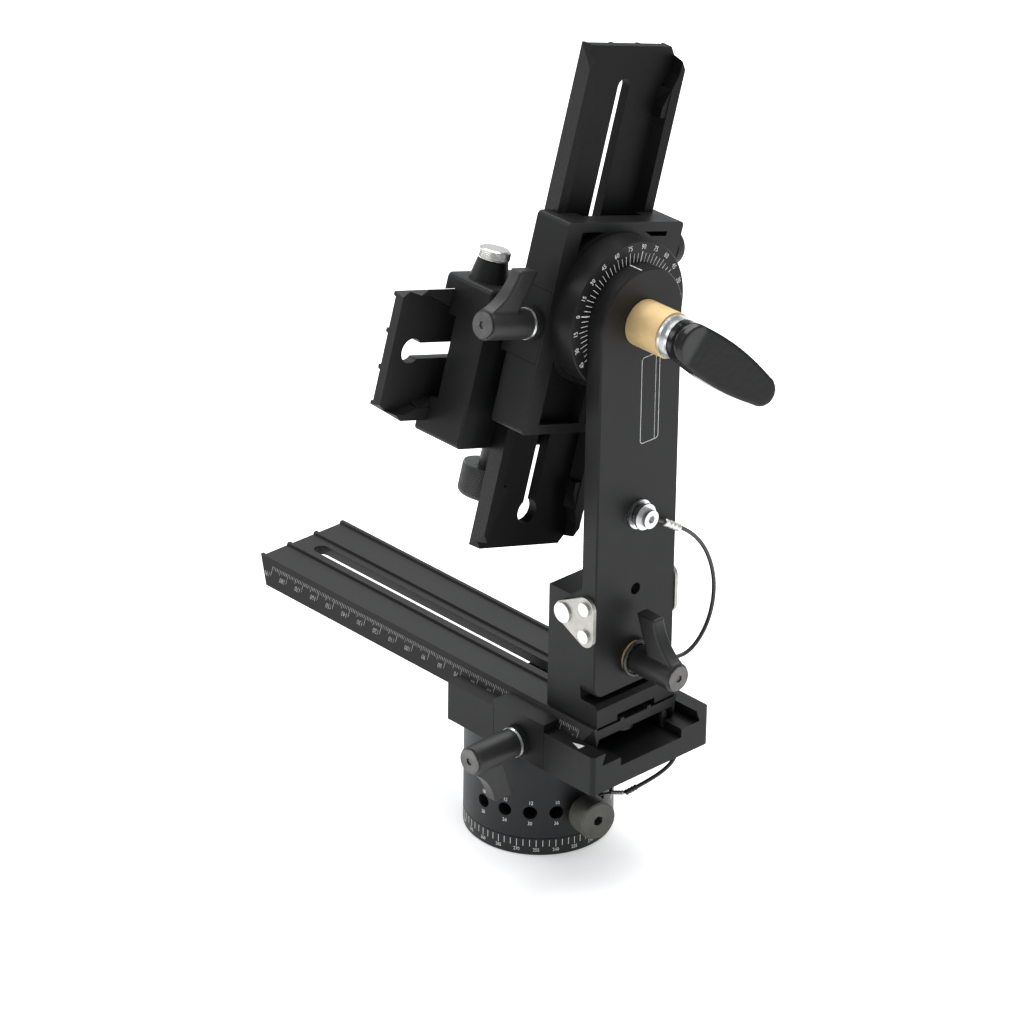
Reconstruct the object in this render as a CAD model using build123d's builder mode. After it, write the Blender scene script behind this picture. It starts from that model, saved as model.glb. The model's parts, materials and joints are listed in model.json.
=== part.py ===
"""Spherical panoramic tripod head: an indexed pan base, three dovetail slides and a tilting arm.

Frame: origin at the middle of the base's underside, +Z up, +X along the lower plate towards the
arm, +Y away from the lower clamp. Millimetres. The upper assembly is drawn at its rest tilt.
"""

import os
from math import cos, pi, radians, sin, tan

from build123d import *

os.makedirs("parts", exist_ok=True)

# ---------------------------------------------------------------- driving dimensions
# Dovetail plates, one section for all three
plate_depth = 10.8
rim_half = 27.6
ridge_half = 23.6
web_thickness = 4.3
ridge_height = 1.2
edge_ridge_width = 1.5
centre_ridge_at = 7.6
centre_ridge_width = 1.6
flange_wall = 5.0
flange_end_wall = 2.6
catch_start = 10.0
catch_peak = 24.0
catch_end = 28.0
catch_inner_half = 19.6
corner_along = 8.0
corner_across = 6.0
slot_width = 6.6
keyhole_radius = 5.2
lower_plate_length = 207.0
upper_plate_length = 210.0
camera_plate_length = 124.0

# Slide holders
holder_half = 33.2
holder_length = 88.0
camera_holder_length = 80.0
seat_depth = 5.0
holder_thickness = 17.6
recess_half = 17.3
recess_depth = 4.0
jaw_length = 30.0
jaw_rise = 3.4
jaw_lip = 1.0
jaw_wall = 4.8
jaw_boss_radius = 6.8
clamp_drop = 4.5
stop_drop = 5.8
stop_inset = 13.0
stop_knob_gap = 0.5
pocket_depth = 5.0
pocket_wall = 4.0

# Pan base
base_radius = 31.7
base_ring_height = 8.0
drum_top = 51.4
pan_gap = 0.3
spindle_radius = 12.0
tripod_thread_radius = 4.76
index_height = 20.5
index_hole_count = 8
index_hole_step = 20.0
index_first_angle = -90.0
index_used = 4
index_thread_radius = 3.0

# Lower slide, bracket, arm and tilt
lower_holder_centre_x = 22.0
lower_plate_overhang = 34.5
bracket_back_x = 27.2
bracket_half = 22.1
bracket_top_z = 130.4
foot_top_z = 85.0
foot_front_x = 56.5
arm_back_x = 46.5
arm_thickness = 8.0
arm_half = 22.35
arm_bottom_z = 87.0
tilt_axis_z = 250.0
tilt_rest_degrees = 16.0
fold_x = 37.5
fold_z = 122.0
lock_z = 100.0
lanyard_screw_y = 0.5
lanyard_screw_z = 165.0

# Tilt joint
disc_radius = 31.0
disc_gap = 0.2
tilt_journal_radius = 8.0
bush_radius = 9.65
bush_length = 16.4
stud_radius = 4.0
lever_length = 44.6
lever_slant_degrees = 18.3
lever_drop_degrees = 42.0
lever_half_width = 8.7

# Upper and camera slides
upper_rim_x = 22.4
upper_holder_drop = 9.0
upper_plate_top = 111.0
camera_rim_x = -9.0
camera_slide_y = -2.2
camera_slide_z = -34.0

# Knobs
wing_length = 24.0
wing_radius = 6.2
wing_reach = 22.5
wing_thickness = 6.0
clamp_thread_radius = 3.0
catch_knob_radius = 7.0
catch_knob_thickness = 4.2
camera_catch_radius = 6.35
camera_boss_radius = 8.0
camera_boss_height = 8.3
camera_boss_taper = 11.6
index_knob_radius = 8.3
index_knob_face = 44.7
camera_knob_radius = 12.0
camera_knob_length = 13.0
camera_knob_neck = 11.2

# Named clearances
running = 0.05
slide_gap = 0.15
side_gap = 0.2
near = 0.1

lanyard_radius = 0.9
lanyard_wire_radius = 0.45

# ---------------------------------------------------------------- frames
tilt = radians(tilt_rest_degrees)
arm_front_x = arm_back_x + arm_thickness
tilted = Plane(origin=(0, 0, tilt_axis_z), x_dir=(1, 0, 0), z_dir=(0, sin(tilt), cos(tilt)))
lower_rim_z = drum_top + near + holder_thickness - seat_depth
lower_slide = Plane(origin=(lower_holder_centre_x, 0, lower_rim_z), x_dir=(1, 0, 0), z_dir=(0, 0, 1))
upper_slide = Plane(
    origin=tilted.from_local_coords(Vector(upper_rim_x, 0, -upper_holder_drop)),
    x_dir=tilted.z_dir,
    z_dir=(-1, 0, 0),
)
camera_slide = Plane(
    origin=tilted.from_local_coords(Vector(camera_rim_x, camera_slide_y, camera_slide_z)),
    x_dir=-tilted.y_dir,
    z_dir=(-1, 0, 0),
)


def across(frame, x=0.0):
    """Plane square to a slide's travel: its x is the slide's width, its y points to the ridges."""
    return Plane(origin=frame.from_local_coords(Vector(x, 0, 0)), x_dir=frame.y_dir, z_dir=frame.x_dir)


def clamp_side(frame, y, z=0.0, x=0.0):
    """Plane that faces out of a slide's clamp side."""
    return Plane(origin=frame.from_local_coords(Vector(x, -y, z)), x_dir=frame.x_dir, z_dir=-frame.y_dir)


def stop_side(frame, y, z=0.0, x=0.0):
    """Plane that faces out of a slide's stop-catch side."""
    return Plane(origin=frame.from_local_coords(Vector(x, y, z)), x_dir=-frame.x_dir, z_dir=frame.y_dir)


def axial(x, y, z):
    """Plane that faces along +X at a point: its x is +Y and its y is +Z."""
    return Plane(origin=(x, y, z), x_dir=(0, 1, 0), z_dir=(1, 0, 0))


def tilted_axial(x):
    """Plane that faces along +X on the tilt axis and turns with the tilt."""
    return Plane(origin=(x, 0, tilt_axis_z), x_dir=tilted.y_dir, z_dir=(1, 0, 0))


def finish(piece, name):
    """Labels a finished sub-part and writes its STEP file."""
    piece.part.label = name
    export_step(piece.part, f"parts/{name}.step")
    print(name, round(piece.part.volume), "mm3")


def rod(plane, radius, length, inner=0.0):
    """A round bar or tube on a plane, inside the sub-part that is open."""
    with BuildSketch(plane) as section:
        Circle(radius)
        if inner:
            Circle(inner, mode=Mode.SUBTRACT)
    extrude(section.sketch, amount=length)


def bore(plane, radius, depth):
    """A round hole that runs from a plane along its normal."""
    with BuildSketch(plane) as section:
        Circle(radius)
    extrude(section.sketch, amount=depth, mode=Mode.SUBTRACT)


# ---------------------------------------------------------------- dovetail plates
flare = (rim_half - ridge_half) / plate_depth
web_top = plate_depth - ridge_height
web_under = web_top - web_thickness


def plate_outline():
    """Half-section points of the plate, from the rim up over the ridges and back inside."""
    inner_rim = rim_half - flange_wall
    edge_in = ridge_half - edge_ridge_width
    out, half = centre_ridge_at, centre_ridge_width / 2
    side = [(rim_half, 0), (ridge_half, plate_depth), (edge_in, plate_depth), (edge_in - 0.5, web_top)]
    ridge = [(out + half + 0.4, web_top), (out + half, plate_depth)]
    ridge += [(out - half, plate_depth), (out - half - 0.4, web_top)]
    top = side + ridge
    inside = [(inner_rim - flare * web_under, web_under), (inner_rim, 0)]
    left = [(-y, z) for y, z in reversed(top)]
    return top + left + [(-y, z) for y, z in reversed(inside)] + inside


def dovetail_plate(name, frame, start, end, slot_start, slot_end, keyhole_at, ramp_ends):
    """A plate of the common section between two places along its slide."""
    with BuildPart() as plate:
        with BuildSketch(across(frame, start)):
            with BuildLine():
                Polyline(*plate_outline(), close=True)
            make_face()
        extrude(amount=end - start)
        for sign in (-1, 1):
            place = end if sign > 0 else start
            for side in (-1, 1):
                top_corner = frame.from_local_coords(Vector(place, side * ridge_half, plate_depth))
                end_corner = frame.from_local_coords(Vector(place, side * (rim_half - corner_across), 0))
                side_corner = frame.from_local_coords(Vector(place - sign * corner_along, side * rim_half, 0))
                normal = (end_corner - top_corner).cross(side_corner - top_corner)
                outward = frame.x_dir * sign
                if normal.dot(outward) < 0:
                    normal = -normal
                split(bisect_by=Plane(origin=top_corner, z_dir=normal), keep=Keep.BOTTOM)
        with BuildSketch(frame.offset(web_under - 1)):
            with Locations(((slot_start + slot_end) / 2, 0)):
                SlotOverall(slot_end - slot_start, slot_width)
            with Locations((keyhole_at, 0)):
                Circle(keyhole_radius)
        extrude(amount=web_thickness + 3, mode=Mode.SUBTRACT)
        for sign in ramp_ends:
            place = end if sign > 0 else start
            thin, thick = rim_half - flange_end_wall, rim_half - flange_wall
            meet = catch_start + (catch_peak - catch_start) * (thin - thick) / (thin - catch_inner_half)
            for side in (-1, 1):
                with BuildSketch(frame):
                    with BuildLine():
                        Polyline(
                            (place + sign, side * (thick - 4)),
                            (place + sign, side * thin),
                            (place - sign * catch_start, side * thin),
                            (place - sign * meet, side * thick),
                            (place - sign * meet, side * (thick - 4)),
                            close=True,
                        )
                    make_face()
                extrude(amount=web_under, mode=Mode.SUBTRACT)
                with BuildSketch(frame.offset(0.3)):
                    with BuildLine():
                        Polyline(
                            (place - sign * meet, side * thick),
                            (place - sign * catch_peak, side * catch_inner_half),
                            (place - sign * catch_end, side * catch_inner_half),
                            (place - sign * catch_end, side * thick),
                            close=True,
                        )
                    make_face()
                extrude(amount=web_under)
    finish(plate, name)


lower_start = lower_plate_overhang - lower_plate_length
dovetail_plate(
    "lower_plate",
    lower_slide,
    lower_start,
    lower_plate_overhang,
    lower_start + 9.5,
    lower_plate_overhang - 4,
    lower_plate_overhang - 15.5,
    (-1,),
)
upper_start = upper_plate_top - upper_plate_length
dovetail_plate(
    "upper_plate",
    upper_slide,
    upper_start,
    upper_plate_top,
    upper_start + 12,
    upper_plate_top - 13.5,
    upper_start + 15,
    (-1, 1),
)
camera_half = camera_plate_length / 2
dovetail_plate(
    "camera_plate",
    camera_slide,
    -camera_half,
    camera_half,
    10 - camera_half,
    camera_half - 8,
    camera_half - 11,
    (-1, 1),
)


# ---------------------------------------------------------------- slide holders
stop_x_full = holder_length / 2 - stop_inset
stop_x_camera = camera_holder_length / 2 - 12.0
stud_radius_stop = 1.8
stop_shaft_radius = 2.5
stop_stud_rise = 3.6
stop_reach = stop_drop + stop_stud_rise
stop_stud_y = rim_half - flange_wall - flare * stop_stud_rise - stud_radius_stop - side_gap
holder_bottom = seat_depth - holder_thickness


def holder_outline():
    """The casting's section: two undercut walls on a floor with a sunk middle."""
    top = rim_half + side_gap - flare * seat_depth
    low = rim_half + side_gap
    floor = -slide_gap
    right = [(holder_half, holder_bottom), (holder_half, seat_depth), (top, seat_depth), (low, floor)]
    right += [(recess_half, floor), (recess_half, -recess_depth)]
    return right + [(-y, z) for y, z in reversed(right)]


def holder(name, frame, length, stop_x, pad_x, pad_radius, shaft_radius=0.0, boss=0.0):
    """One slide casting: channel, clamp jaw gap, stop slot and a pocketed back round its pad."""
    with BuildPart() as casting:
        with BuildSketch(across(frame, -length / 2)):
            with BuildLine():
                Polyline(*holder_outline(), close=True)
            make_face()
        extrude(amount=length)
        upright = [e for e in casting.edges().filter_by(Axis(frame.origin, frame.z_dir)) if e.length > 10]
        fillet(upright, 2.0)
        if boss:
            with BuildSketch(stop_side(frame, holder_half, -stop_drop, stop_x)):
                Circle(camera_boss_radius)
            extrude(amount=boss, taper=camera_boss_taper)
        # gap in the clamp wall for the loose jaw, with a lip left under it
        with BuildSketch(clamp_side(frame, holder_half + 1, holder_bottom + jaw_lip)):
            with Locations((0, 20)):
                Rectangle(jaw_length, 40)
        extrude(amount=-(jaw_wall + 1), mode=Mode.SUBTRACT)
        with BuildSketch(clamp_side(frame, holder_half - jaw_wall + 0.5, -slide_gap)):
            with Locations((0, 10)):
                Rectangle(jaw_length, 20)
        extrude(amount=-4.0, mode=Mode.SUBTRACT)
        bore(clamp_side(frame, recess_half - 1, -clamp_drop), clamp_thread_radius, 20)
        # stop catch: shaft bore, spring chamber and the slot its stud turns down into
        bore(stop_side(frame, recess_half - 1, -stop_drop, stop_x), stop_shaft_radius + running, 60)
        bore(stop_side(frame, holder_half - 4, -stop_drop, stop_x), 4.5, 60)
        slot_from = stop_x - stop_reach - 0.4
        slot_to = stop_x + stop_shaft_radius + 0.3
        with BuildSketch(frame.offset(-stop_drop - stop_shaft_radius - 0.1)):
            with Locations(((slot_from + slot_to) / 2, (recess_half - 1 + stop_stud_y + 2.4) / 2)):
                Rectangle(slot_to - slot_from, stop_stud_y + 2.4 - recess_half + 1)
        extrude(amount=20, mode=Mode.SUBTRACT)
        # back pockets between the rim and the round pad
        with BuildSketch(frame.offset(holder_bottom - 1)):
            for sign in (-1, 1):
                far, inner = length / 2 - pocket_wall, 1.6
                with Locations((0, sign * (inner + holder_half - jaw_wall - pocket_wall) / 2)):
                    Rectangle(2 * far, holder_half - jaw_wall - pocket_wall - inner)
            with Locations((pad_x, 0)):
                Circle(pad_radius, mode=Mode.SUBTRACT)
            with Locations((stop_x - 4, recess_half + 7)):
                Rectangle(22, 34, mode=Mode.SUBTRACT)
            with Locations((0, -recess_half - 4)):
                Rectangle(14, 24, mode=Mode.SUBTRACT)
        extrude(amount=pocket_depth + 1, mode=Mode.SUBTRACT)
        if shaft_radius:
            with BuildSketch(frame.offset(holder_bottom - 1)):
                with Locations((pad_x, 0)):
                    Circle(shaft_radius)
            extrude(amount=40, mode=Mode.SUBTRACT)
    return casting


lower_pad_x = -lower_holder_centre_x
holder_screw_places = [(lower_pad_x + 15 * cos(radians(a)), 15 * sin(radians(a))) for a in (45, 135, 225, 315)]
lower_casting = holder("lower_holder", lower_slide, holder_length, stop_x_full, lower_pad_x, 32.0)
with BuildPart() as lower_holder:
    add(lower_casting.part)
    with BuildSketch(lower_slide.offset(-recess_depth)):
        with Locations(*holder_screw_places):
            Circle(2.05)
    extrude(amount=-holder_thickness, mode=Mode.SUBTRACT)
finish(lower_holder, "lower_holder")

upper_holder = holder(
    "upper_holder", upper_slide, holder_length, stop_x_full, upper_holder_drop, 33.0, tilt_journal_radius + 0.02
)
finish(upper_holder, "upper_holder")

camera_screw_offsets = (-12.0, 12.0)
camera_casting = holder("camera_holder", camera_slide, camera_holder_length, stop_x_camera, 0, 14.0, 0.0, camera_boss_height)
camera_bolt_shift = camera_slide_y
with BuildPart() as camera_holder:
    add(camera_casting.part)
    with BuildSketch(camera_slide.offset(holder_bottom)):
        with Locations(*[(camera_bolt_shift, z) for z in camera_screw_offsets]):
            Circle(3.0)
    extrude(amount=8.6, mode=Mode.SUBTRACT)
finish(camera_holder, "camera_holder")

spacer_back_x = upper_rim_x - plate_depth - near
spacer_front_x = camera_rim_x + holder_thickness - seat_depth
with BuildPart() as camera_holder_spacer:
    with BuildSketch(camera_slide.offset(holder_bottom)):
        RectangleRounded(camera_holder_length, 2 * holder_half, 2.0)
        with Locations(*[(camera_bolt_shift, z) for z in camera_screw_offsets]):
            Circle(3.02, mode=Mode.SUBTRACT)
    extrude(amount=-(spacer_back_x - spacer_front_x))
    chamfer(camera_holder_spacer.faces().sort_by(Axis.X)[-1].outer_wire().edges(), 0.8)
finish(camera_holder_spacer, "camera_holder_spacer")


def clamp_jaw(name, frame):
    """The loose jaw that the clamp knob presses on the plate's flank."""
    lower = holder_bottom + jaw_lip + slide_gap
    top = seat_depth + jaw_rise
    flank = rim_half + slide_gap
    face = holder_half - jaw_wall + slide_gap
    with BuildPart() as jaw:
        with BuildSketch(across(frame, -jaw_length / 2 + slide_gap)):
            with BuildLine():
                Polyline(
                    (-holder_half, lower),
                    (-face, lower),
                    (-face, 0),
                    (-flank, 0),
                    (flare * top - flank, top),
                    (-holder_half, top),
                    close=True,
                )
            make_face()
        extrude(amount=jaw_length - 2 * slide_gap)
        rod(clamp_side(frame, holder_half - 0.5, -clamp_drop), jaw_boss_radius, 3.0)
        bore(clamp_side(frame, holder_half - 8, -clamp_drop), clamp_thread_radius + running, 20)
    finish(jaw, name)


clamp_jaw("lower_clamp_jaw", lower_slide)
clamp_jaw("upper_clamp_jaw", upper_slide)
clamp_jaw("camera_clamp_jaw", camera_slide)


# ---------------------------------------------------------------- knobs
def wing_body(plane):
    """A wing knob standing on a plane: barrel along its normal, wing along its x."""
    rod(plane, wing_radius, wing_length)
    wing_plane = Plane(origin=plane.origin, x_dir=plane.x_dir, z_dir=-plane.y_dir)
    root, neck, far = 9.0, 5.0, wing_length
    with BuildSketch(wing_plane.offset(-wing_thickness / 2)) as wing:
        with BuildLine():
            Line((0, root), (neck, root))
            Line((neck, root), (wing_reach, 2.5))
            Line((wing_reach, 2.5), (wing_reach, 12.5))
            ThreePointArc((wing_reach, 12.5), (wing_reach - 10.5, far - 7.0), (neck + 0.8, far))
            Line((neck + 0.8, far), (0, far))
            Line((0, far), (0, root))
        make_face()
    extrude(wing.sketch, amount=wing_thickness)


def wing_knob(name, plane, shank):
    """A wing knob with its screw; the shank runs back from the plane."""
    with BuildPart() as knob:
        wing_body(plane)
        rod(plane, clamp_thread_radius - running, -shank)
    finish(knob, name)


def knob_screw(name, plane, height):
    """The socket screw head that shows in a wing knob's end."""
    with BuildPart() as disc:
        rod(plane.offset(height), 5.3, 0.8)
        with BuildSketch(plane.offset(height + 0.2)):
            RegularPolygon(1.7, 6)
        extrude(amount=3, mode=Mode.SUBTRACT)
    finish(disc, name)


knob_stand = 3.0 - 0.5 + near


def clamp_knob_plane(frame, wing_dir):
    """Where a clamp knob stands, turned so that its wing points along wing_dir."""
    origin = clamp_side(frame, holder_half + knob_stand, -clamp_drop).origin
    return Plane(origin=origin, x_dir=wing_dir, z_dir=-frame.y_dir)


clamp_shank = knob_stand + holder_half - recess_half - 1.5
lower_knob_plane = clamp_knob_plane(lower_slide, (0, 0, -1))
upper_knob_plane = clamp_knob_plane(upper_slide, tilted.z_dir)
wing_knob("lower_clamp_knob", lower_knob_plane, clamp_shank)
wing_knob("upper_clamp_knob", upper_knob_plane, clamp_shank)
knob_screw("lower_knob_screw", lower_knob_plane, wing_length)
knob_screw("upper_knob_screw", upper_knob_plane, wing_length)

camera_knob_plane = clamp_knob_plane(camera_slide, -camera_slide.x_dir)
with BuildPart() as camera_clamp_knob:
    rod(camera_knob_plane, 6.0, camera_knob_neck)
    rod(camera_knob_plane.offset(camera_knob_neck), camera_knob_radius, camera_knob_length)
    chamfer(camera_clamp_knob.edges().filter_by(GeomType.CIRCLE).sort_by_distance(camera_knob_plane.origin)[-1], 0.8)
    rod(camera_knob_plane, clamp_thread_radius - running, -clamp_shank)
finish(camera_clamp_knob, "camera_clamp_knob")

washer_thickness = 1.2
lock_plane = Plane(origin=(arm_front_x + washer_thickness + near, 0, lock_z), x_dir=(0, 0, 1), z_dir=(1, 0, 0))
wing_knob("arm_lock_knob", lock_plane, arm_thickness + washer_thickness + near - 0.1)
knob_screw("lock_knob_screw", lock_plane, wing_length)
with BuildPart() as lock_washer:
    rod(axial(arm_front_x, 0, lock_z), 7.0, washer_thickness, clamp_thread_radius + running)
finish(lock_washer, "lock_washer")


# ---------------------------------------------------------------- stop catches
def stop_catch(name, frame, stop_x, knob_radius, boss=0.0):
    """Knob on a shaft whose standing stud catches the plate; a quarter turn lays the stud down."""
    shaft_end = holder_half + boss + stop_knob_gap
    with BuildPart() as catch:
        rod(stop_side(frame, stop_stud_y - 1.9, -stop_drop, stop_x), stop_shaft_radius, shaft_end - stop_stud_y + 2.0)
        rod(stop_side(frame, shaft_end, -stop_drop, stop_x), knob_radius, catch_knob_thickness)
        rims = catch.edges().filter_by(GeomType.CIRCLE)
        chamfer(rims.sort_by_distance(stop_side(frame, 200, 0, stop_x).origin)[0], 0.6)
        with BuildSketch(frame.offset(-stop_drop)):
            with Locations((stop_x, stop_stud_y)):
                Circle(stud_radius_stop)
        extrude(amount=stop_reach)
    finish(catch, name)


def catch_spring(name, frame, stop_x):
    """The wave spring that holds a catch where it is set, shown as the tube it fills."""
    with BuildPart() as spring:
        rod(stop_side(frame, holder_half - 3.9, -stop_drop, stop_x), 4.2, 3.7, stop_shaft_radius + 0.3)
    finish(spring, name)


stop_catch("lower_stop_catch", lower_slide, stop_x_full, catch_knob_radius)
stop_catch("upper_stop_catch", upper_slide, stop_x_full, catch_knob_radius)
stop_catch("camera_stop_catch", camera_slide, stop_x_camera, camera_catch_radius, camera_boss_height)
catch_spring("lower_catch_spring", lower_slide, stop_x_full)
catch_spring("upper_catch_spring", upper_slide, stop_x_full)
catch_spring("camera_catch_spring", camera_slide, stop_x_camera)

# ---------------------------------------------------------------- pan base
with BuildPart() as base_ring:
    with BuildSketch(Plane.XY):
        Circle(base_radius)
        Circle(spindle_radius + 2.0, mode=Mode.SUBTRACT)
    extrude(amount=base_ring_height)
    chamfer(base_ring.edges().filter_by(GeomType.CIRCLE).group_by(Axis.Z)[0].sort_by(SortBy.RADIUS)[-1], 0.6)
finish(base_ring, "base_ring")

nut_height = 6.0
spindle_top = drum_top - 4.0
drum_floor = spindle_top - nut_height - 3.0
with BuildPart() as base_spindle:
    rod(Plane.XY.offset(0.3), spindle_radius + 2.0, base_ring_height - 0.3)
    rod(Plane.XY.offset(base_ring_height), spindle_radius, drum_floor + 1.6 - base_ring_height)
    rod(Plane.XY.offset(drum_floor), 8.0, spindle_top - drum_floor - 0.5)
    bore(Plane.XY, 7.0, 14)
    for turn in range(index_hole_count):
        angle = radians(index_first_angle + index_used * index_hole_step + 45 * turn)
        outward = Vector(cos(angle), sin(angle), 0)
        seat = Plane(origin=outward * (spindle_radius + 1) + Vector(0, 0, index_height), z_dir=-outward)
        bore(seat, 1.6, 2.4)
finish(base_spindle, "base_spindle")

with BuildPart() as tripod_bush:
    rod(Plane.XY, 7.0, 12.8, tripod_thread_radius)
finish(tripod_bush, "tripod_bush")

with BuildPart() as pan_washer:
    rod(Plane.XY.offset(base_ring_height), base_radius - 3, 0.25, spindle_radius + 2.5)
finish(pan_washer, "pan_washer")

drum_bottom = base_ring_height + pan_gap
with BuildPart() as pan_drum:
    rod(Plane.XY.offset(drum_bottom), base_radius, drum_top - drum_bottom)
    bore(Plane.XY, spindle_radius + running, drum_floor + 1.8)
    bore(Plane.XY.offset(drum_floor - 1), 8.0 + running, 40)
    bore(Plane.XY.offset(drum_floor + 2.8), 11.5, 40)
    for hole in range(index_hole_count):
        angle = radians(index_first_angle + hole * index_hole_step)
        outward = Vector(cos(angle), sin(angle), 0)
        mouth = Plane(origin=outward * (base_radius + 1) + Vector(0, 0, index_height), z_dir=-outward)
        bore(mouth, index_thread_radius, base_radius - spindle_radius + 2)
    with BuildSketch(Plane.XY.offset(drum_top)):
        with Locations(*[(15 * cos(radians(a)), 15 * sin(radians(a))) for a in (45, 135, 225, 315)]):
            Circle(2.0)
    extrude(amount=-8.0, mode=Mode.SUBTRACT)
finish(pan_drum, "pan_drum")

with BuildPart() as spindle_nut:
    with BuildSketch(Plane.XY.offset(drum_floor + 2.9)):
        RegularPolygon(10.5, 6)
        Circle(8.02, mode=Mode.SUBTRACT)
    extrude(amount=nut_height - 0.6)
finish(spindle_nut, "spindle_nut")

with BuildPart() as lower_holder_screws:
    head_z = lower_rim_z - recess_depth
    for x, y in holder_screw_places:
        spot = Plane(origin=(x + lower_holder_centre_x, y, head_z))
        rod(spot, 3.5, 2.2)
        rod(spot, 1.98, -(head_z - drum_top + 6.5))
        with BuildSketch(spot.offset(1.0)):
            RegularPolygon(1.5, 6)
        extrude(amount=2, mode=Mode.SUBTRACT)
finish(lower_holder_screws, "lower_holder_screws")

# ---------------------------------------------------------------- index plunger
plunger_angle = radians(index_first_angle + index_used * index_hole_step)
plunger_dir = Vector(cos(plunger_angle), sin(plunger_angle), 0)


def plunger_plane(radius):
    return Plane(origin=plunger_dir * radius + Vector(0, 0, index_height), x_dir=(0, 0, 1), z_dir=plunger_dir)


knob_back = base_radius + 3.4
with BuildPart() as index_plunger:
    rod(plunger_plane(spindle_radius + 3.0), index_thread_radius - running, knob_back - spindle_radius - 3.0)
    rod(plunger_plane(base_radius + 0.3), 4.6, knob_back - base_radius)
    rod(plunger_plane(knob_back), index_knob_radius, index_knob_face - knob_back)
    chamfer(index_plunger.edges().filter_by(GeomType.CIRCLE).sort_by_distance(plunger_plane(200).origin)[0], 0.6)
    with BuildSketch(plunger_plane(index_knob_face - 3)):
        RegularPolygon(2.3, 6)
    extrude(amount=6, mode=Mode.SUBTRACT)
    bore(plunger_plane(spindle_radius + 2.0), 1.9, 9.0)
finish(index_plunger, "index_plunger")

with BuildPart() as index_spring:
    rod(plunger_plane(spindle_radius + 4.2), 1.7, 6.6, 1.0)
finish(index_spring, "index_spring")

with BuildPart() as index_ball:
    with Locations(plunger_plane(spindle_radius + 2.3)):
        Sphere(1.85)
    with BuildSketch(plunger_plane(spindle_radius + 0.9)):
        Circle(3)
    extrude(amount=-5, mode=Mode.SUBTRACT)
finish(index_ball, "index_ball")

# ---------------------------------------------------------------- bracket and arm
bracket_bottom_z = lower_rim_z + plate_depth
bracket_screw_x = (34.0, 48.0)
with BuildPart() as arm_bracket:
    with BuildSketch(Plane.XZ.offset(-bracket_half)):
        with BuildLine():
            Polyline(
                (bracket_back_x, bracket_bottom_z),
                (foot_front_x, bracket_bottom_z),
                (foot_front_x, foot_top_z),
                (arm_back_x - near, foot_top_z),
                (arm_back_x - near, bracket_top_z),
                (bracket_back_x, bracket_top_z),
                close=True,
            )
        make_face()
    extrude(amount=2 * bracket_half)
    front_top = [
        e
        for e in arm_bracket.edges().filter_by(Axis.Y)
        if abs(e.center().X - foot_front_x) < 0.01 and abs(e.center().Z - foot_top_z) < 0.01
    ]
    chamfer(front_top, 1.8)
    swing = [
        e
        for e in arm_bracket.edges().filter_by(Axis.Y)
        if abs(e.center().X - arm_back_x + near) < 0.01 and abs(e.center().Z - bracket_top_z) < 0.01
    ]
    fillet(swing, bracket_top_z - fold_z - near)
    inner = [
        e
        for e in arm_bracket.edges().filter_by(Axis.Y)
        if abs(e.center().X - arm_back_x + near) < 0.01 and abs(e.center().Z - foot_top_z) < 0.01
    ]
    fillet(inner, 1.5)
    # groove under the foot that clears the centre ridges of the plate
    with BuildSketch(Plane.XY.offset(bracket_bottom_z)):
        with Locations(((foot_front_x + bracket_back_x) / 2 + 6, 0)):
            Rectangle(foot_front_x - bracket_back_x, 2 * centre_ridge_at + 6)
    extrude(amount=2.6, mode=Mode.SUBTRACT)
    bore(axial(arm_back_x, 0, lock_z), clamp_thread_radius, -16)
    for side in (-1, 1):
        mouth = Plane(origin=(fold_x, side * bracket_half, fold_z), x_dir=(1, 0, 0), z_dir=(0, side, 0))
        bore(mouth, 3.0, -9)
    with BuildSketch(Plane.XY.offset(bracket_bottom_z)):
        with Locations(*[(x, 0) for x in bracket_screw_x]):
            Circle(3.0)
    extrude(amount=9.0, mode=Mode.SUBTRACT)
finish(arm_bracket, "arm_bracket")

with BuildPart() as bracket_screws:
    for x in bracket_screw_x:
        under = Plane(origin=(x, 0, lower_rim_z + web_under))
        rod(under, 5.0, -4.3)
        rod(under, 2.98, plate_depth - web_under + 8.0)
        with BuildSketch(under.offset(-4.3)):
            RegularPolygon(2.3, 6)
        extrude(amount=2.5, mode=Mode.SUBTRACT)
finish(bracket_screws, "bracket_screws")

with BuildPart() as arm:
    with BuildSketch(axial(arm_back_x, 0, 0)):
        with Locations((0, (arm_bottom_z + tilt_axis_z) / 2)):
            Rectangle(2 * arm_half, tilt_axis_z - arm_bottom_z)
        with Locations((0, tilt_axis_z)):
            Circle(arm_half)
    extrude(amount=arm_thickness)
    low = [e for e in arm.edges().filter_by(Axis.X) if e.center().Z < arm_bottom_z + 1]
    fillet(low, 5.5)
    rims = [e for e in arm.faces().sort_by(Axis.X)[-1].outer_wire().edges()]
    chamfer(rims, 0.6)
    bore(axial(0, 0, tilt_axis_z), tilt_journal_radius + running, 100)
    bore(axial(0, 0, lock_z), clamp_thread_radius + running, 100)
    bore(axial(0, 0, 131.0), 2.6, 100)
    bore(axial(arm_front_x, lanyard_screw_y, lanyard_screw_z), 1.5, -6)
    for side in (-1, 1):
        for z in (fold_z - 6.2, fold_z + 6.2):
            mouth = Plane(origin=(50.0, side * arm_half, z), x_dir=(1, 0, 0), z_dir=(0, side, 0))
            bore(mouth, 1.5, -7)
finish(arm, "arm")

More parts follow.
